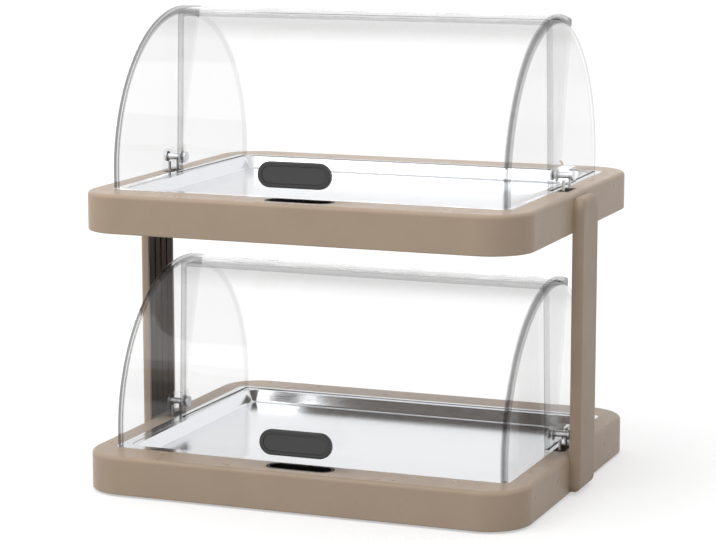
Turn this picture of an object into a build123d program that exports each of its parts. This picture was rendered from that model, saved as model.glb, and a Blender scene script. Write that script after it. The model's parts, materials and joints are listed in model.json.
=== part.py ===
from build123d import *
import math
import os

os.makedirs("parts", exist_ok=True)

# Two tiers, in millimetres: origin under the middle of the display, front towards -Y
frame_width = 440
frame_depth = 376
frame_height = 37
frame_corner_radius = 42
tier_pitch = 250
foot_height = 2

# Hollow casing of a tier
casing_wall = 3.5
deck_thickness = 5
casing_top_round = 4
casing_bottom_round = 1.2

# Serving tray of thin steel sheet, resting on a ledge; its borders are measured from the casing's sides
tray_side_border = 31.2
tray_end_border = 45.5
tray_corner_radius = 16
tray_sheet = 0.8
tray_flange = 4
tray_well_depth = 12
tray_wall_slope = 30
tray_floor_round = 4
tray_clearance = 0.5
ledge_width = 4
rebate_depth = 1.2

# Steel trim let into the deck round the tray, under the covers' lower edges
trim_thickness = 0.8
trim_inset = 0.5
trim_corner_radius = 8
trim_clearance = 0.1

# Cold store under the tray
cold_well_wall = 1.6
cold_well_flange = 8
cold_well_floor_height = 10
cold_pack_clearance = 3
cold_pack_headroom = 0.7
cold_pack_corner_radius = 14
cold_pack_round = 4
cold_pack_spacing = 4
insulation_border = 6.5
insulation_corner_radius = 10

# Bottom panel and its screws
panel_thickness = 3.2
panel_recess = 0.8
panel_clearance = 0.4
boss_radius = 4.5
corner_boss_side_border = 20
corner_boss_end_border = 40
middle_boss_x = 70
middle_boss_end_border = 24
panel_screw_radius = 1.4
panel_screw_head_radius = 3
panel_screw_head_height = 1.4
panel_screw_bore_depth = 1.6
panel_screw_grip = 10
screw_clearance = 0.1
screw_tip_clearance = 1.5

# Rubber feet, pushed into the lower bottom panel
foot_radius = 11
foot_stem_radius = 3
foot_stem_overrun = 1.5
foot_side_border = 60
foot_end_border = 38
foot_edge_round = 0.8

# Clear covers, each a drum about the pivot axis with slightly conical ends
cover_end_border = 37
cover_side_border = 21
cover_wall = 3
cover_draft = 1.2
cover_edge_round = 3
cover_inner_edge_round = 1.5
pivot_height = 14
cover_gap = 1.2
cover_floor_gap = 0.3
cover_overlap = 16
back_cover_lead = 12
lip_thickness = 3
lip_side = 2
lip_top = 2.5
lip_corner_radius = 3

# Pivots
pin_radius = 3
pin_clearance = 0.05
pin_head_radius = 5
pin_head_height = 2.5
pin_overrun = 2
cap_radius = 5.5
cap_thickness = 1.5
cap_clearance = 0.02
washer_radius = 6.5
washer_thickness = 1
washer_clearance = 0.05
bracket_gap = 0.3
bracket_thickness = 11
bracket_length = 28
bracket_height = 22
bracket_corner_radius = 6
bracket_edge_round = 0.8
bracket_screw_spacing = 18
bracket_screw_radius = 1.5
bracket_screw_head_radius = 3
bracket_screw_head_height = 2.2
bracket_screw_grip = 10

# Handle on the front cover
handle_length = 72
handle_height = 24
handle_plate_thickness = 6
handle_reach = 26
handle_centre_height = 23.5
handle_edge_round = 1.5
handle_neck_length = 50
handle_neck_height = 13
handle_seat_clearance = 0.05
inlay_length = 63
inlay_height = 16
inlay_thickness = 1.2
inlay_clearance = 0.1
inlay_recess = 0.5
inlay_edge_round = 0.3
handle_screw_spacing = 30
handle_screw_radius = 1.5
handle_screw_head_radius = 3
handle_screw_head_height = 1.2
handle_screw_grip = 10

# Finger cup let into the deck under the handle
cup_length = 68
cup_width = 23
cup_rim = 2
cup_rim_thickness = 1.2
cup_wall = 1.2
cup_depth = 9
cup_border = 25
cup_clearance = 0.2

# Side columns, screwed to the ends of both casings
column_thickness = 9.5
column_width = 58
column_bottom_lift = 0.6
column_top_drop = 4
column_top_radius = 14
column_bottom_radius = 8
column_edge_round = 6.5
column_insert_border = 3
column_insert_thickness = 2.4
column_insert_clearance = 0.2
column_pocket_border = 6
column_pocket_depth = 6.5
groove_count = 3
groove_width = 3
groove_depth = 1
groove_spacing = 13
column_screw_radius = 2
column_screw_head_radius = 3.5
column_screw_head_height = 2.2
column_screw_grip = 6
column_screw_spacing = 28
column_screw_height = 18.5

# Sizes and places that follow from the values above
half_frame = frame_width / 2
half_frame_depth = frame_depth / 2
lower_base = foot_height
upper_base = lower_base + tier_pitch
tray_width = frame_width - 2 * tray_side_border
tray_depth = frame_depth - 2 * tray_end_border
opening_width = tray_width + 2 * tray_clearance
opening_depth = tray_depth + 2 * tray_clearance
opening_radius = tray_corner_radius + tray_clearance
well_width = opening_width - 2 * ledge_width
well_depth = opening_depth - 2 * ledge_width
well_radius = opening_radius - ledge_width
well_inner_width = well_width - 2 * cold_well_wall
well_inner_depth = well_depth - 2 * cold_well_wall
cold_pack_width = (well_inner_width - cold_pack_spacing) / 2 - cold_pack_clearance
cold_pack_depth = well_inner_depth - 2 * cold_pack_clearance
cold_pack_base = cold_well_floor_height + cold_well_wall
tray_underside = frame_height - rebate_depth + tray_sheet - tray_well_depth
cold_pack_thickness = tray_underside - cold_pack_headroom - cold_pack_base
deck_underside = frame_height - deck_thickness
panel_top = panel_recess + panel_thickness
draft_slope = math.tan(math.radians(cover_draft))
cover_radius = half_frame_depth - cover_end_border
cover_half_width = half_frame - cover_side_border
front_cover_inner = cover_radius - cover_wall
back_cover_radius = front_cover_inner - cover_gap
back_cover_half_width = cover_half_width - cover_wall - cover_gap
back_cover_inner_half_width = back_cover_half_width - cover_wall
trim_width = 2 * cover_half_width
trim_depth = 2 * (cover_radius - trim_inset)
bracket_inner = cover_half_width + bracket_gap
bracket_outer = bracket_inner + bracket_thickness
handle_angle = math.asin((handle_centre_height - pivot_height) / cover_radius)
handle_face_radius = cover_radius + handle_reach
cover_reach = 2 * cover_radius
cup_y = cup_border - half_frame_depth
column_bottom = lower_base + column_bottom_lift
column_top = upper_base + frame_height - column_top_drop


def four_places(x, y):
    return [(side * x, end * y) for side in (-1, 1) for end in (-1, 1)]


boss_places = four_places(half_frame - corner_boss_side_border, half_frame_depth - corner_boss_end_border)
boss_places += four_places(middle_boss_x, half_frame_depth - middle_boss_end_border)
foot_places = four_places(half_frame - foot_side_border, half_frame_depth - foot_end_border)
bracket_screw_places = four_places(bracket_inner + bracket_thickness / 2, bracket_screw_spacing / 2)
column_screw_places = [
    (end * column_screw_spacing / 2, base + column_screw_height)
    for end in (-1, 1)
    for base in (lower_base, upper_base)
]


def write(piece, name):
    piece.part.label = name
    export_step(piece.part, f"parts/{name}.step")


def facing_down(height):
    return Plane(origin=(0, 0, height), x_dir=(1, 0, 0), z_dir=(0, 0, -1))


def pivot_axis_height(base):
    return base + frame_height + pivot_height


def radial_plane(base, radius):
    """Plane across the handle's own radius, facing away from the pivot axis."""
    outward = (0, -math.cos(handle_angle), math.sin(handle_angle))
    origin = (0, radius * outward[1], pivot_axis_height(base) + radius * outward[2])
    return Plane(origin=origin, x_dir=(1, 0, 0), z_dir=outward)


def drum(base, radius, half_width, edge_round, mode):
    """Solid of revolution about the pivot axis, its ends drawn in towards the rim."""
    axis_height = pivot_axis_height(base)
    rim_half_width = half_width - radius * draft_slope
    with BuildSketch(Plane(origin=(0, 0, axis_height), x_dir=(1, 0, 0), z_dir=(0, -1, 0))) as profile:
        with BuildLine():
            Polyline(
                (-half_width, 0),
                (half_width, 0),
                (rim_half_width, radius),
                (-rim_half_width, radius),
                close=True,
            )
        make_face()
        fillet(profile.vertices().group_by(Axis.Y)[-1], edge_round)
    revolve(profile.sketch, axis=Axis((0, 0, axis_height), (1, 0, 0)), revolution_arc=360, mode=mode)


def cut_pivot_holes(base):
    with BuildSketch(Plane.YZ.offset(-cover_half_width)) as hole:
        with Locations((0, pivot_axis_height(base))):
            Circle(pin_radius + pin_clearance)
    extrude(hole.sketch, amount=2 * cover_half_width, mode=Mode.SUBTRACT)


# Casing

def make_frame(base):
    with BuildPart() as frame:
        with BuildSketch(Plane.XY.offset(base)):
            RectangleRounded(frame_width, frame_depth, frame_corner_radius)
        extrude(amount=frame_height)
        fillet(frame.faces().sort_by(Axis.Z)[-1].edges(), casing_top_round)
        fillet(frame.faces().sort_by(Axis.Z)[0].edges(), casing_bottom_round)
        with BuildSketch(Plane.XY.offset(base)):
            RectangleRounded(
                frame_width - 2 * casing_wall,
                frame_depth - 2 * casing_wall,
                frame_corner_radius - casing_wall,
            )
        extrude(amount=deck_underside, mode=Mode.SUBTRACT)
        with BuildSketch(facing_down(base + frame_height)):
            RectangleRounded(
                trim_width + 2 * trim_clearance,
                trim_depth + 2 * trim_clearance,
                trim_corner_radius + trim_clearance,
            )
        extrude(amount=trim_thickness, mode=Mode.SUBTRACT)
        with BuildSketch(facing_down(base + frame_height)):
            RectangleRounded(opening_width, opening_depth, opening_radius)
        extrude(amount=rebate_depth, mode=Mode.SUBTRACT)
        with BuildSketch(facing_down(base + frame_height)):
            RectangleRounded(well_width, well_depth, well_radius)
        extrude(amount=deck_thickness, mode=Mode.SUBTRACT)
        with BuildSketch(Plane.XY.offset(base + panel_top)):
            with Locations(*boss_places):
                Circle(boss_radius)
        extrude(amount=deck_underside - panel_top)
        with BuildSketch(Plane.XY.offset(base + panel_top)):
            with Locations(*boss_places):
                Circle(panel_screw_radius)
        extrude(amount=panel_screw_grip + screw_tip_clearance, mode=Mode.SUBTRACT)
        with BuildSketch(Plane.XY.offset(base + deck_underside)):
            with Locations(*bracket_screw_places):
                Circle(bracket_screw_radius + screw_clearance)
        extrude(amount=deck_thickness, mode=Mode.SUBTRACT)
        with BuildSketch(Plane.YZ.offset(-half_frame)):
            with Locations((0, base + column_screw_height)):
                with GridLocations(column_screw_spacing, 0, 2, 1):
                    Circle(column_screw_radius + screw_clearance)
        extrude(amount=frame_width, mode=Mode.SUBTRACT)
        with BuildSketch(Plane.XY.offset(base + frame_height - cup_rim_thickness)):
            with Locations((0, cup_y)):
                SlotOverall(cup_length + 2 * cup_clearance, cup_width + 2 * cup_clearance)
        extrude(amount=cup_rim_thickness, mode=Mode.SUBTRACT)
        with BuildSketch(Plane.XY.offset(base + deck_underside)):
            with Locations((0, cup_y)):
                SlotOverall(
                    cup_length - 2 * cup_rim + 2 * cup_clearance,
                    cup_width - 2 * cup_rim + 2 * cup_clearance,
                )
        extrude(amount=deck_thickness, mode=Mode.SUBTRACT)
    return frame


def make_bottom_panel(base, with_feet):
    with BuildPart() as panel:
        with BuildSketch(Plane.XY.offset(base + panel_recess)):
            RectangleRounded(
                frame_width - 2 * (casing_wall + panel_clearance),
                frame_depth - 2 * (casing_wall + panel_clearance),
                frame_corner_radius - casing_wall - panel_clearance,
            )
        extrude(amount=panel_thickness)
        with BuildSketch(Plane.XY.offset(base + panel_recess)):
            with Locations(*boss_places):
                Circle(panel_screw_radius + screw_clearance)
            if with_feet:
                with Locations(*foot_places):
                    Circle(foot_stem_radius + screw_clearance)
        extrude(amount=panel_thickness, mode=Mode.SUBTRACT)
        with BuildSketch(Plane.XY.offset(base + panel_recess)):
            with Locations(*boss_places):
                Circle(panel_screw_head_radius + screw_clearance)
        extrude(amount=panel_screw_bore_depth, mode=Mode.SUBTRACT)
    return panel


def make_bottom_screws(base):
    seat = base + panel_recess + panel_screw_bore_depth
    with BuildPart() as screws:
        with BuildSketch(facing_down(seat)):
            with Locations(*boss_places):
                Circle(panel_screw_head_radius)
        extrude(amount=panel_screw_head_height)
        with BuildSketch(Plane.XY.offset(seat)):
            with Locations(*boss_places):
                Circle(panel_screw_radius)
        extrude(amount=panel_thickness - panel_screw_bore_depth + panel_screw_grip)
    return screws


def make_rubber_feet():
    with BuildPart() as feet:
        with BuildSketch(Plane.XY):
            with Locations(*foot_places):
                Circle(foot_radius)
        extrude(amount=lower_base + panel_recess)
        fillet(feet.edges().group_by(Axis.Z)[0], foot_edge_round)
        with BuildSketch(Plane.XY.offset(lower_base + panel_recess)):
            with Locations(*foot_places):
                Circle(foot_stem_radius)
        extrude(amount=panel_thickness + foot_stem_overrun)
    return feet


# Cold store, trim and tray

def make_deck_trim(base):
    with BuildPart() as trim:
        with BuildSketch(facing_down(base + frame_height)):
            RectangleRounded(trim_width, trim_depth, trim_corner_radius)
            RectangleRounded(opening_width, opening_depth, opening_radius, mode=Mode.SUBTRACT)
        extrude(amount=trim_thickness)
    return trim


def make_insulation(base):
    with BuildPart() as insulation:
        with BuildSketch(Plane.XY.offset(base + panel_top)):
            RectangleRounded(
                well_width - 2 * insulation_border,
                well_depth - 2 * insulation_border,
                insulation_corner_radius,
            )
        extrude(amount=cold_well_floor_height - panel_top)
    return insulation


def make_cold_well(base):
    with BuildPart() as well:
        with BuildSketch(facing_down(base + deck_underside)):
            RectangleRounded(
                well_width + 2 * cold_well_flange,
                well_depth + 2 * cold_well_flange,
                well_radius + cold_well_flange,
            )
        extrude(amount=cold_well_wall)
        with BuildSketch(Plane.XY.offset(base + cold_well_floor_height)):
            RectangleRounded(well_width, well_depth, well_radius)
        extrude(amount=deck_underside - cold_well_floor_height)
        with BuildSketch(Plane.XY.offset(base + cold_well_floor_height + cold_well_wall)):
            RectangleRounded(well_inner_width, well_inner_depth, well_radius - cold_well_wall)
        extrude(amount=deck_underside - cold_well_floor_height, mode=Mode.SUBTRACT)
    return well


def make_cold_pack(base, side):
    with BuildPart() as pack:
        with BuildSketch(Plane.XY.offset(base + cold_pack_base)):
            with Locations((side * (cold_pack_width + cold_pack_spacing) / 2, 0)):
                RectangleRounded(cold_pack_width, cold_pack_depth, cold_pack_corner_radius)
        extrude(amount=cold_pack_thickness)
        fillet(pack.faces().sort_by(Axis.Z)[-1].edges(), cold_pack_round)
    return pack


def make_tray(base):
    flange_base = base + frame_height - rebate_depth
    flange_top = flange_base + tray_sheet
    slant_wall = tray_sheet / math.cos(math.radians(tray_wall_slope))
    mouth_width = tray_width - 2 * tray_flange
    mouth_depth = tray_depth - 2 * tray_flange
    mouth_radius = tray_corner_radius - tray_flange
    with BuildPart() as tray:
        with BuildSketch(Plane.XY.offset(flange_base)):
            RectangleRounded(tray_width, tray_depth, tray_corner_radius)
        extrude(amount=tray_sheet)
        with BuildSketch(facing_down(flange_top)):
            RectangleRounded(mouth_width, mouth_depth, mouth_radius)
        extrude(amount=tray_well_depth, taper=tray_wall_slope)
        fillet(tray.faces().sort_by(Axis.Z)[0].edges(), tray_floor_round)
        with BuildSketch(facing_down(flange_top)):
            RectangleRounded(
                mouth_width - 2 * slant_wall,
                mouth_depth - 2 * slant_wall,
                mouth_radius - slant_wall,
            )
        extrude(amount=tray_well_depth - tray_sheet, taper=tray_wall_slope, mode=Mode.SUBTRACT)
        floor = tray.faces().filter_by(Axis.Z).sort_by(Axis.Z)[1]
        fillet(floor.edges(), tray_floor_round - tray_sheet)
    return tray


# Covers

def make_front_cover(base):
    axis_height = pivot_axis_height(base)
    floor = base + frame_height + cover_floor_gap
    rear = cover_reach * math.tan(math.radians(cover_overlap))
    with BuildPart() as cover:
        drum(base, cover_radius, cover_half_width, cover_edge_round, Mode.ADD)
        drum(base, front_cover_inner, cover_half_width - cover_wall, cover_inner_edge_round, Mode.SUBTRACT)
        with BuildSketch(Plane.YZ.offset(-cover_half_width)):
            with BuildLine():
                Polyline(
                    (0, floor),
                    (-cover_reach, floor),
                    (-cover_reach, axis_height + cover_reach),
                    (rear, axis_height + cover_reach),
                    (0, axis_height),
                    close=True,
                )
            make_face()
            with Locations((0, axis_height)):
                Circle(axis_height - floor)
        extrude(amount=2 * cover_half_width, mode=Mode.INTERSECT)
        cut_pivot_holes(base)
        with BuildSketch(radial_plane(base, cover_radius)):
            with GridLocations(handle_screw_spacing, 0, 2, 1):
                Circle(handle_screw_radius + screw_clearance)
        extrude(amount=-2 * cover_wall, mode=Mode.SUBTRACT)
    return cover


def make_back_cover(base):
    axis_height = pivot_axis_height(base)
    deck = base + frame_height
    inner_radius = back_cover_radius - cover_wall
    lip_outer = back_cover_half_width - cover_wall / 2
    lip_outer_radius = back_cover_radius - cover_wall / 2
    window_half_width = back_cover_inner_half_width - lip_side
    window_radius = inner_radius - lip_top
    with BuildPart() as cover:
        drum(base, back_cover_radius, back_cover_half_width, cover_edge_round, Mode.ADD)
        drum(base, inner_radius, back_cover_inner_half_width, cover_inner_edge_round, Mode.SUBTRACT)
        with BuildSketch(Plane.YZ.offset(-cover_half_width)):
            with Locations((-back_cover_lead, deck)):
                Rectangle(cover_reach, cover_reach, align=(Align.MIN, Align.MIN))
        extrude(amount=2 * cover_half_width, mode=Mode.INTERSECT)
        with BuildSketch(Plane(origin=(0, -back_cover_lead, 0), x_dir=(-1, 0, 0), z_dir=(0, 1, 0))):
            add_upright_outline(lip_outer, lip_outer_radius, axis_height, deck, Mode.ADD)
            add_upright_outline(window_half_width, window_radius, axis_height, deck, Mode.SUBTRACT)
        extrude(amount=lip_thickness)
        cut_pivot_holes(base)
    return cover


def add_upright_outline(half_width, radius, axis_height, deck, mode):
    """Outline with drawn-in sides and two rounded upper corners, for the sketch of the lip."""
    top_half_width = half_width - radius * draft_slope
    with BuildLine() as outline:
        Polyline(
            (-half_width, deck),
            (half_width, deck),
            (top_half_width, axis_height + radius),
            (-top_half_width, axis_height + radius),
            close=True,
        )
        fillet(outline.vertices().group_by(Axis.Y)[-1], lip_corner_radius)
    make_face(outline.edges(), mode=mode)


def make_pivot_bracket(base, side):
    deck = base + frame_height
    with BuildPart() as bracket:
        with BuildSketch(Plane.YZ.offset(side * bracket_inner)) as outline:
            with Locations((0, deck)):
                Rectangle(bracket_length, bracket_height, align=(Align.CENTER, Align.MIN))
            fillet(outline.vertices().group_by(Axis.Y)[-1], bracket_corner_radius)
        extrude(amount=side * bracket_thickness)
        outer_face = bracket.faces().filter_by(Axis.X).sort_by(Axis.X)[-1 if side > 0 else 0]
        fillet(outer_face.edges().filter_by(lambda edge: edge.center().Z > deck), bracket_edge_round)
        with BuildSketch(Plane.YZ.offset(side * bracket_inner)):
            with Locations((0, pivot_axis_height(base))):
                Circle(pin_radius + pin_clearance)
        extrude(amount=side * bracket_thickness, mode=Mode.SUBTRACT)
        with BuildSketch(Plane.XY.offset(deck)):
            with Locations(*[place for place in bracket_screw_places if place[0] * side > 0]):
                Circle(bracket_screw_radius + screw_clearance)
        extrude(amount=bracket_screw_grip + screw_tip_clearance, mode=Mode.SUBTRACT)
    return bracket


def make_bracket_screws(base):
    with BuildPart() as screws:
        with BuildSketch(facing_down(base + deck_underside)):
            with Locations(*[(x, -y) for x, y in bracket_screw_places]):
                Circle(bracket_screw_head_radius)
        extrude(amount=bracket_screw_head_height)
        with BuildSketch(Plane.XY.offset(base + deck_underside)):
            with Locations(*bracket_screw_places):
                Circle(bracket_screw_radius)
        extrude(amount=deck_thickness + bracket_screw_grip)
    return screws


def rings_on_pivot(base, start, thickness, radius, bore):
    """A ring at each end of the pivot axis, start being its inner face."""
    with BuildPart() as rings:
        for side in (-1, 1):
            with BuildSketch(Plane.YZ.offset(side * start)):
                with Locations((0, pivot_axis_height(base))):
                    Circle(radius)
                    Circle(bore, mode=Mode.SUBTRACT)
            extrude(amount=side * thickness)
    return rings


def make_pivot_pins(base):
    pin_end = back_cover_inner_half_width - pin_overrun
    with BuildPart() as pins:
        for side in (-1, 1):
            with BuildSketch(Plane.YZ.offset(side * pin_end)):
                with Locations((0, pivot_axis_height(base))):
                    Circle(pin_radius)
            extrude(amount=side * (bracket_outer - pin_end))
            with BuildSketch(Plane.YZ.offset(side * bracket_outer)):
                with Locations((0, pivot_axis_height(base))):
                    Circle(pin_head_radius)
            extrude(amount=side * pin_head_height)
        ends = pins.faces().filter_by(Axis.X).sort_by(Axis.X)
        fillet(ends[0].edges() + ends[-1].edges(), pin_head_height / 2)
    return pins


# Handle and finger cup

def make_handle(base):
    plate_back = handle_face_radius - handle_plate_thickness
    with BuildPart() as handle:
        with BuildSketch(radial_plane(base, handle_face_radius)):
            SlotOverall(handle_length, handle_height)
        extrude(amount=-handle_plate_thickness)
        fillet(handle.edges().filter_by(lambda edge: edge.length > handle_height), handle_edge_round)
        with BuildSketch(radial_plane(base, plate_back)):
            SlotOverall(handle_neck_length, handle_neck_height)
        extrude(amount=cover_radius - plate_back - cover_wall)
        with BuildSketch(Plane.YZ.offset(-handle_length / 2)):
            with Locations((0, pivot_axis_height(base))):
                Circle(cover_radius + handle_seat_clearance)
        extrude(amount=handle_length, mode=Mode.SUBTRACT)
        with BuildSketch(radial_plane(base, handle_face_radius)):
            SlotOverall(inlay_length + 2 * inlay_clearance, inlay_height + 2 * inlay_clearance)
        extrude(amount=-(inlay_thickness + inlay_recess), mode=Mode.SUBTRACT)
        with BuildSketch(radial_plane(base, cover_radius - cover_wall)):
            with GridLocations(handle_screw_spacing, 0, 2, 1):
                Circle(handle_screw_radius)
        extrude(amount=cover_wall + handle_screw_grip + screw_tip_clearance, mode=Mode.SUBTRACT)
    return handle


def make_handle_inlay(base):
    with BuildPart() as inlay:
        with BuildSketch(radial_plane(base, handle_face_radius - inlay_recess)):
            SlotOverall(inlay_length, inlay_height)
        extrude(amount=-inlay_thickness)
        face = inlay.faces().sort_by(Axis.Y)[0]
        fillet(face.edges(), inlay_edge_round)
    return inlay


def make_handle_screws(base):
    head_seat = front_cover_inner - handle_seat_clearance
    with BuildPart() as screws:
        with BuildSketch(radial_plane(base, head_seat)):
            with GridLocations(handle_screw_spacing, 0, 2, 1):
                Circle(handle_screw_head_radius)
        extrude(amount=-handle_screw_head_height)
        with BuildSketch(radial_plane(base, head_seat)):
            with GridLocations(handle_screw_spacing, 0, 2, 1):
                Circle(handle_screw_radius)
        extrude(amount=cover_wall + handle_screw_grip)
    return screws


def make_finger_cup(base):
    deck = base + frame_height
    with BuildPart() as cup:
        with BuildSketch(Plane.XY.offset(deck - cup_rim_thickness)):
            with Locations((0, cup_y)):
                SlotOverall(cup_length, cup_width)
        extrude(amount=cup_rim_thickness)
        with BuildSketch(Plane.XY.offset(deck - cup_depth)):
            with Locations((0, cup_y)):
                SlotOverall(cup_length - 2 * cup_rim, cup_width - 2 * cup_rim)
        extrude(amount=cup_depth)
        with BuildSketch(Plane.XY.offset(deck - cup_depth + cup_wall)):
            with Locations((0, cup_y)):
                SlotOverall(cup_length - 2 * (cup_rim + cup_wall), cup_width - 2 * (cup_rim + cup_wall))
        extrude(amount=cup_depth, mode=Mode.SUBTRACT)
    return cup


# Columns

def make_column(side):
    pocket_bottom = lower_base + frame_height
    pocket_top = upper_base
    middle = (pocket_bottom + pocket_top) / 2
    span = pocket_top - pocket_bottom
    with BuildPart() as column:
        with BuildSketch(Plane.YZ.offset(side * half_frame)) as outline:
            with Locations((0, column_bottom)):
                Rectangle(column_width, column_top - column_bottom, align=(Align.CENTER, Align.MIN))
            fillet(outline.vertices().group_by(Axis.Y)[-1], column_top_radius)
            fillet(outline.vertices().group_by(Axis.Y)[0], column_bottom_radius)
        extrude(amount=side * column_thickness)
        outer_face = column.faces().filter_by(Axis.X).sort_by(Axis.X)[-1 if side > 0 else 0]
        fillet(outer_face.edges(), column_edge_round)
        with BuildSketch(Plane.YZ.offset(side * half_frame)):
            with Locations((0, middle)):
                Rectangle(column_width - 2 * column_insert_border, span)
        extrude(amount=side * column_insert_thickness, mode=Mode.SUBTRACT)
        with BuildSketch(Plane.YZ.offset(side * half_frame)):
            with Locations((0, middle)):
                Rectangle(column_width - 2 * column_pocket_border, span - 2 * column_insert_border)
        extrude(amount=side * column_pocket_depth, mode=Mode.SUBTRACT)
        with BuildSketch(Plane.YZ.offset(side * half_frame)):
            with Locations(*column_screw_places):
                Circle(column_screw_radius)
        extrude(amount=side * (column_screw_grip + screw_tip_clearance), mode=Mode.SUBTRACT)
    return column


def make_column_insert(side):
    bottom = lower_base + frame_height + column_insert_clearance
    top = upper_base - column_insert_clearance
    middle = (bottom + top) / 2
    with BuildPart() as insert:
        with BuildSketch(Plane.YZ.offset(side * half_frame)):
            with Locations((0, middle)):
                Rectangle(column_width - 2 * (column_insert_border + column_insert_clearance), top - bottom)
        extrude(amount=side * column_insert_thickness)
        with BuildSketch(Plane.YZ.offset(side * half_frame)):
            with Locations((0, middle)):
                with GridLocations(groove_spacing, 0, groove_count, 1):
                    Rectangle(groove_width, top - bottom)
        extrude(amount=side * groove_depth, mode=Mode.SUBTRACT)
    return insert


def make_column_screws(side):
    seat = half_frame - casing_wall
    with BuildPart() as screws:
        with BuildSketch(Plane.YZ.offset(side * seat)):
            with Locations(*column_screw_places):
                Circle(column_screw_head_radius)
        extrude(amount=-side * column_screw_head_height)
        with BuildSketch(Plane.YZ.offset(side * seat)):
            with Locations(*column_screw_places):
                Circle(column_screw_radius)
        extrude(amount=side * (casing_wall + column_screw_grip))
    return screws


# Both tiers, then what joins them
for tier, base in (("lower", lower_base), ("upper", upper_base)):
    cap_outer = back_cover_inner_half_width - cap_radius * draft_slope - washer_clearance
    cap_inner = cap_outer - cap_thickness
    washer_inner = back_cover_half_width + washer_clearance
    write(make_frame(base), f"{tier}_frame")
    write(make_bottom_panel(base, with_feet=tier == "lower"), f"{tier}_bottom_panel")
    write(make_bottom_screws(base), f"{tier}_bottom_screws")
    write(make_insulation(base), f"{tier}_insulation")
    write(make_cold_well(base), f"{tier}_cold_well")
    write(make_cold_pack(base, side=-1), f"{tier}_cold_pack_left")
    write(make_cold_pack(base, side=1), f"{tier}_cold_pack_right")
    write(make_deck_trim(base), f"{tier}_deck_trim")
    write(make_tray(base), f"{tier}_tray")
    write(make_back_cover(base), f"{tier}_back_cover")
    write(make_front_cover(base), f"{tier}_front_cover")
    write(make_pivot_bracket(base, side=-1), f"{tier}_pivot_bracket_left")
    write(make_pivot_bracket(base, side=1), f"{tier}_pivot_bracket_right")
    write(make_bracket_screws(base), f"{tier}_bracket_screws")
    write(make_pivot_pins(base), f"{tier}_pivot_pins")
    write(
        rings_on_pivot(base, cap_inner, cap_thickness, cap_radius, pin_radius + cap_clearance),
        f"{tier}_pivot_caps",
    )
    write(
        rings_on_pivot(base, washer_inner, washer_thickness, washer_radius, pin_radius + pin_clearance),
        f"{tier}_pivot_washers",
    )
    write(make_handle(base), f"{tier}_handle")
    write(make_handle_inlay(base), f"{tier}_handle_inlay")
    write(make_handle_screws(base), f"{tier}_handle_screws")
    write(make_finger_cup(base), f"{tier}_finger_cup")

for name, side in (("left", -1), ("right", 1)):
    write(make_column(side), f"{name}_column")
    write(make_column_insert(side), f"{name}_column_insert")
    write(make_column_screws(side), f"{name}_column_screws")

write(make_rubber_feet(), "rubber_feet")
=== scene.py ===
import json
import math

import bpy
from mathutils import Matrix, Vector

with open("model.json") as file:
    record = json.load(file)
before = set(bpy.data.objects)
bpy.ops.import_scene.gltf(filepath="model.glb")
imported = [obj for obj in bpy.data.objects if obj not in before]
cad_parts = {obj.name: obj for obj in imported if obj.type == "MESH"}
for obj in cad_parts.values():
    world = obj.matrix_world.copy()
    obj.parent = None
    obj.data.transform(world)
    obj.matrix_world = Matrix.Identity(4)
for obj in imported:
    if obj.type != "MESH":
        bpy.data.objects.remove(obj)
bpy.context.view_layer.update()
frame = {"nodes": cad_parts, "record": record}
nodes = frame["nodes"]

# Where painted shade greys the clear covers, in metres from the middle of the part and from the hinge axis
FRONT_RIM_SHADE = {"radius": 0.151, "half_width": 0.19584, "end_band": 0.0085, "wall_band": 0.0045}
BACK_RIM_SHADE = {"radius": 0.1468, "half_width": 0.19172, "end_band": 0.006, "wall_band": 0.003}
BACK_LIP_SHADE = {"edge": -0.0088, "end_wall": 0.184}
RIM_FADE = 0.001
LIP_FADE = 0.0004
END_WALL_FADE = 0.002

WHITE = (1, 1, 1, 1)


class Graph:
    """One node tree, with helpers that add nodes to it. A value is a number or another node's output."""

    def __init__(self, tree):
        self.tree = tree

    def node(self, kind, **values):
        made = self.tree.nodes.new(kind)
        for key, value in values.items():
            setattr(made, key, value)
        return made

    def join(self, start, end):
        self.tree.links.new(start, end)

    def feed(self, value, socket):
        if isinstance(value, (int, float)):
            socket.default_value = value
        else:
            self.join(value, socket)

    def maths(self, operation, first, second=0.0):
        made = self.node("ShaderNodeMath", operation=operation)
        self.feed(first, made.inputs[0])
        self.feed(second, made.inputs[1])
        return made.outputs[0]

    def ranged(self, value, low, high, start=0.3, end=0.7):
        """Goes from low to high as the value goes from start to end, and stays there beyond them."""
        remap = self.node("ShaderNodeMapRange")
        for key, number in (("From Min", start), ("From Max", end), ("To Min", low), ("To Max", high)):
            self.feed(number, remap.inputs[key])
        self.join(value, remap.inputs["Value"])
        return remap.outputs["Result"]

    def parts(self, vector):
        made = self.node("ShaderNodeSeparateXYZ")
        self.join(vector, made.inputs["Vector"])
        return made.outputs

    def shows_ground(self):
        """1 for rays from the camera, metal and glass, and 0 for the rays that bring light."""
        path = self.node("ShaderNodeLightPath").outputs
        mirrored = self.maths("MAXIMUM", path["Is Glossy Ray"], path["Is Transmission Ray"])
        return self.maths("MAXIMUM", path["Is Camera Ray"], mirrored)


# Materials

def linear(r, g, b):
    """The linear colour of an 8-bit display colour."""
    return tuple((c / 255) ** 2.2 for c in (r, g, b)) + (1.0,)


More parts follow.
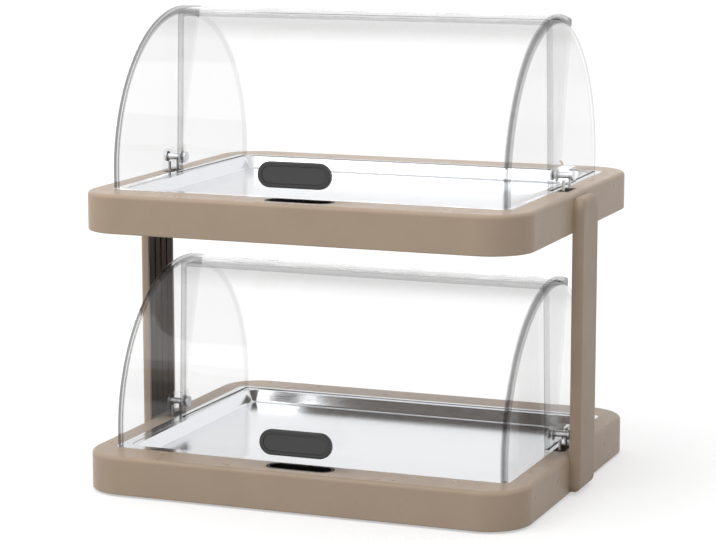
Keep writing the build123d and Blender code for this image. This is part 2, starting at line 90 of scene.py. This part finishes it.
class Finish(Graph):
    """A material around one Principled shader, with helpers for its procedural detail."""

    def __init__(self, name, colour, roughness, metallic=0.0):
        self.material = bpy.data.materials.new(name)
        self.material.use_nodes = True
        super().__init__(self.material.node_tree)
        self.shader = self.tree.nodes["Principled BSDF"]
        self.output = self.tree.nodes["Material Output"]
        self.shader.inputs["Base Color"].default_value = colour
        self.shader.inputs["Roughness"].default_value = roughness
        self.shader.inputs["Metallic"].default_value = metallic
        self.colour = colour
        self.roughness = roughness
        self.coordinates = self.node("ShaderNodeTexCoord").outputs["Object"]

    def mapped(self, **values):
        mapping = self.node("ShaderNodeMapping")
        for key, value in values.items():
            mapping.inputs[key].default_value = value
        self.join(self.coordinates, mapping.inputs["Vector"])
        return mapping.outputs["Vector"]

    def noise(self, scale, detail, stretch=(1, 1, 1)):
        texture = self.node("ShaderNodeTexNoise")
        texture.inputs["Scale"].default_value = scale
        texture.inputs["Detail"].default_value = detail
        self.join(self.mapped(Scale=stretch), texture.inputs["Vector"])
        return texture.outputs["Fac"]

    def colours(self, share, first, second):
        """Colours the surface from the first to the second colour as share goes from 0 to 1."""
        mix = self.node("ShaderNodeMix", data_type="RGBA")
        mix.inputs["A"].default_value = first
        mix.inputs["B"].default_value = second
        self.join(share, mix.inputs["Factor"])
        self.join(mix.outputs["Result"], self.shader.inputs["Base Color"])

    def tint(self, value, darker, lighter):
        """Varies the colour between two multiples of it."""
        ends = [tuple(min(1.0, c * times) for c in self.colour[:3]) + (1.0,) for times in (darker, lighter)]
        self.colours(self.ranged(value, 0, 1), *ends)

    def blur(self, value, spread):
        """Varies the roughness by spread each way."""
        varied = self.ranged(value, self.roughness - spread, self.roughness + spread)
        self.join(varied, self.shader.inputs["Roughness"])

    def bump(self, value, height):
        made = self.node("ShaderNodeBump")
        made.inputs["Distance"].default_value = height
        made.inputs["Strength"].default_value = 1.0
        self.join(value, made.inputs["Height"])
        self.join(made.outputs["Normal"], self.shader.inputs["Normal"])

    def lets_lamps_through(self):
        """Rays from lamps pass, so that what stands behind the clear plastic is lit."""
        mix = self.node("ShaderNodeMixShader")
        clear = self.node("ShaderNodeBsdfTransparent")
        clear.inputs["Color"].default_value = (0.93, 0.94, 0.94, 1.0)
        self.join(self.node("ShaderNodeLightPath").outputs["Is Shadow Ray"], mix.inputs["Fac"])
        self.join(self.shader.outputs["BSDF"], mix.inputs[1])
        self.join(clear.outputs["BSDF"], mix.inputs[2])
        self.join(mix.outputs["Shader"], self.output.inputs["Surface"])


def moulded(name, colour, roughness, grain=2600, depth=0.000004, shine=0.5):
    """Satin moulded plastic: fine grain, faint clouds of colour and a slightly uneven gloss."""
    made = Finish(name, colour, roughness)
    made.shader.inputs["Specular IOR Level"].default_value = shine
    made.tint(made.noise(22, 2), 0.965, 1.03)
    made.blur(made.noise(60, 2), 0.03)
    made.bump(made.noise(grain, 2), depth)
    return made.material


def brushed(name, colour, roughness, stretch=(4, 320, 320)):
    """Metal with fine streaks, which run the way that stretch is least."""
    made = Finish(name, colour, roughness, metallic=1.0)
    made.tint(made.noise(9, 4, stretch), 0.96, 1.02)
    made.blur(made.noise(7, 3, stretch), 0.05)
    made.bump(made.noise(8, 2, stretch), 0.00001)
    return made.material


def clear_plastic(name, roughness, shade_bands=()):
    """Clear moulding under a glossy coat, with painted shade: greyer where it is seen at a slant and in its
    bands, in place of the dimming that bent light and reflections give.

    It hardly bends light, because rays caught in a thin bent wall would come out black.
    """
    made = Finish(name, (0.998, 0.998, 0.998, 1.0), roughness)
    for key, value in (
        ("Transmission Weight", 1.0),
        ("IOR", 1.01),
        ("Coat Weight", 0.3),
        ("Coat IOR", 1.45),
        ("Coat Roughness", roughness),
    ):
        made.shader.inputs[key].default_value = value
    made.blur(made.noise(35, 5), 0.004)
    made.bump(made.noise(9, 2), 0.000003)
    # Painted shade: grey where the wall is seen at a slant, less of it right at the edge-on silhouette.
    facing = made.node("ShaderNodeLayerWeight")
    facing.inputs["Blend"].default_value = 0.5
    slant = facing.outputs["Facing"]
    shade_at_slant = made.ranged(slant, 0, 0.21, start=0.42, end=0.6)
    less_shade_at_grazing = made.ranged(slant, 1, 0.4, start=0.68, end=0.85)
    grey = made.maths("MULTIPLY", shade_at_slant, less_shade_at_grazing)
    for band in shade_bands:
        grey = made.maths("MAXIMUM", grey, band(made))
    # Painted shade: the colour turns towards this dark grey at a slant and in the rim and lip bands.
    made.colours(grey, made.colour, (0.26, 0.26, 0.262, 1.0))
    made.lets_lamps_through()
    return made.material


def rim_painted_shade(axis_height, radius, half_width, end_band, wall_band, strength):
    """Painted shade: the grey band where a cover's curved wall turns over into its end walls, in place of the
    dark line that bent light gives there.
    """
    def share(made):
        place = made.parts(made.mapped(Location=(0, 0, -axis_height)))
        squares = [made.maths("POWER", made.maths("ABSOLUTE", place[key]), 2.0) for key in ("Y", "Z")]
        distance = made.maths("SQRT", made.maths("ADD", *squares))
        across = made.maths("ABSOLUTE", place["X"])
        rim, end = radius - end_band, half_width - wall_band
        near_rim = made.ranged(distance, 0, 1, start=rim - RIM_FADE, end=rim + RIM_FADE)
        near_end = made.ranged(across, 0, 1, start=end - RIM_FADE, end=end + RIM_FADE)
        return made.maths("MULTIPLY", made.maths("MULTIPLY", near_rim, near_end), strength)
    return share


def lip_painted_shade(edge, end_wall, strength):
    """Painted shade: the grey band along the back cover's leading edge, strongest down its end walls."""
    def share(made):
        place = made.parts(made.coordinates)
        leading = made.ranged(place["Y"], strength, 0, start=edge - LIP_FADE, end=edge)
        across = made.maths("ABSOLUTE", place["X"])
        return made.maths(
            "MULTIPLY", leading, made.ranged(across, 0.8, 1, start=end_wall - END_WALL_FADE, end=end_wall)
        )
    return share


def dress(node, material):
    for holder in nodes[node].material_slots:
        holder.material = material


FINISHES = {
    "casing": moulded("casing_plastic", linear(170, 151, 133), 0.3, shine=0.1),
    "column": moulded("column_plastic", linear(165, 147, 130), 0.36, shine=0.05),
    "column_insert": moulded("insert_plastic", linear(66, 46, 30), 0.5, shine=0.1),
    "panel": moulded("panel_plastic", linear(122, 109, 97), 0.6, grain=1400),
    "screw": brushed("screw_steel", linear(190, 190, 190), 0.3, (300, 300, 40)),
    "pin": brushed("pin_steel", linear(225, 225, 228), 0.45, (40, 400, 400)),
    "washer": moulded("washer_nylon", linear(232, 232, 230), 0.45),
    "foam": moulded("foam_plate", linear(226, 226, 222), 0.85, grain=900, depth=0.0002),
    "well": moulded("basin_plastic", linear(232, 233, 235), 0.3),
    "cold_pack": moulded("cold_pack_plastic", linear(90, 140, 200), 0.35),
    "tray": brushed("tray_steel", linear(232, 234, 237), 0.16),
    "trim": brushed("trim_steel", linear(232, 233, 235), 0.14),
    "clear_bracket": clear_plastic("bracket_clear", 0.06),
    "handle": moulded("grip_plastic", linear(50, 50, 51), 0.45, grain=1500, depth=0.00006),
    "inlay": moulded("badge_plastic", linear(57, 57, 58), 0.4),
    # Painted shade: the near-black colour of the finger cup stands for the deep shadow inside the recess.
    "cup": moulded("cup_painted_shade", linear(10, 10, 10), 0.5, shine=0.2),
    "rubber": moulded("foot_rubber", linear(34, 34, 34), 0.8),
}
for part in frame["record"]["subparts"]:
    if part["material_slot"] in FINISHES:
        dress(part["node"], FINISHES[part["material_slot"]])

for joint in frame["record"]["behaviour"]["joints"]:
    if joint["type"] == "hinge":
        tier = joint["name"].split("_")[0]
        axis_height = joint["pos_m"][2]
        # Painted shade: grey bands at the covers' turned edges and along the back cover's leading edge.
        front_shade_bands = [rim_painted_shade(axis_height, **FRONT_RIM_SHADE, strength=0.95)]
        back_shade_bands = [rim_painted_shade(axis_height, **BACK_RIM_SHADE, strength=0.4), lip_painted_shade(**BACK_LIP_SHADE, strength=0.6)]
        dress(tier + "_front_cover", clear_plastic(tier + "_front_clear", 0.012, front_shade_bands))
        dress(tier + "_back_cover", clear_plastic(tier + "_back_clear", 0.012, back_shade_bands))


# Floor, light and camera

def make_floor(half, grey, lift):
    """A pale floor that keeps shadows; lift is the light it seems to give off, which the part doesn't get."""
    mesh = bpy.data.meshes.new("floor")
    corners = [(-half, -half, 0), (half, -half, 0), (half, half, 0), (-half, half, 0)]
    mesh.from_pydata(corners, [], [(0, 1, 2, 3)])
    floor = bpy.data.objects.new("floor", mesh)
    bpy.context.scene.collection.objects.link(floor)
    paper = Finish("floor_paper", (grey, grey, grey, 1), 0.9)
    paper.shader.inputs["Specular IOR Level"].default_value = 0.1
    glow = paper.node("ShaderNodeEmission")
    glow.inputs["Color"].default_value = WHITE
    paper.join(paper.maths("MULTIPLY", paper.shows_ground(), lift), glow.inputs["Strength"])
    both = paper.node("ShaderNodeAddShader")
    paper.join(paper.shader.outputs["BSDF"], both.inputs[0])
    paper.join(glow.outputs["Emission"], both.inputs[1])
    paper.join(both.outputs["Shader"], paper.output.inputs["Surface"])
    mesh.materials.append(paper.material)


def light_world(level, overhead, left, right):
    """White for the camera, metal and glass; the light it gives grows overhead and falls off to the right."""
    world = bpy.data.worlds.new("studio")
    bpy.context.scene.world = world
    world.use_nodes = True
    graph = Graph(world.node_tree)
    backdrop = graph.tree.nodes["Background"]
    backdrop.inputs["Color"].default_value = WHITE
    direction = graph.parts(graph.node("ShaderNodeTexCoord").outputs["Generated"])
    upward = graph.ranged(direction["Z"], level, overhead, start=0.0, end=1.0)
    sideways = graph.ranged(direction["X"], left, right, start=-0.7, end=0.7)
    given = graph.maths("MULTIPLY", upward, sideways)
    strength = graph.ranged(graph.shows_ground(), given, 1.0, start=0.0, end=1.0)
    graph.join(strength, backdrop.inputs["Strength"])


def add_lamp(name, place, target, size, watts):
    data = bpy.data.lights.new(name, "AREA")
    data.shape = "RECTANGLE"
    data.size, data.size_y = size
    data.energy = watts
    lamp = bpy.data.objects.new(name, data)
    lamp.location = place
    lamp.rotation_euler = (Vector(target) - Vector(place)).to_track_quat("-Z", "Y").to_euler()
    bpy.context.scene.collection.objects.link(lamp)


def add_camera(azimuth, elevation, distance, target, lens):
    a, e = math.radians(azimuth), math.radians(elevation)
    back = Vector((math.sin(a) * math.cos(e), -math.cos(a) * math.cos(e), math.sin(e)))
    data = bpy.data.cameras.new("camera")
    data.lens = lens
    data.sensor_width = 36
    data.clip_end = 100
    camera = bpy.data.objects.new("camera", data)
    camera.location = Vector(target) + back * distance
    camera.rotation_euler = (-back).to_track_quat("-Z", "Y").to_euler()
    bpy.context.scene.collection.objects.link(camera)
    bpy.context.scene.camera = camera


make_floor(half=30, grey=0.5, lift=0.5)
light_world(level=0.55, overhead=1.45, left=1.12, right=0.74)
add_lamp("key", place=(-0.9, -1.3, 2.2), target=(0, 0, 0.2), size=(1.6, 1.6), watts=18.5)
add_camera(azimuth=21.36, elevation=9.46, distance=2.457, target=(-0.0062, 0, 0.1996), lens=126.1)

scene = bpy.context.scene
scene.view_settings.view_transform = "Standard"
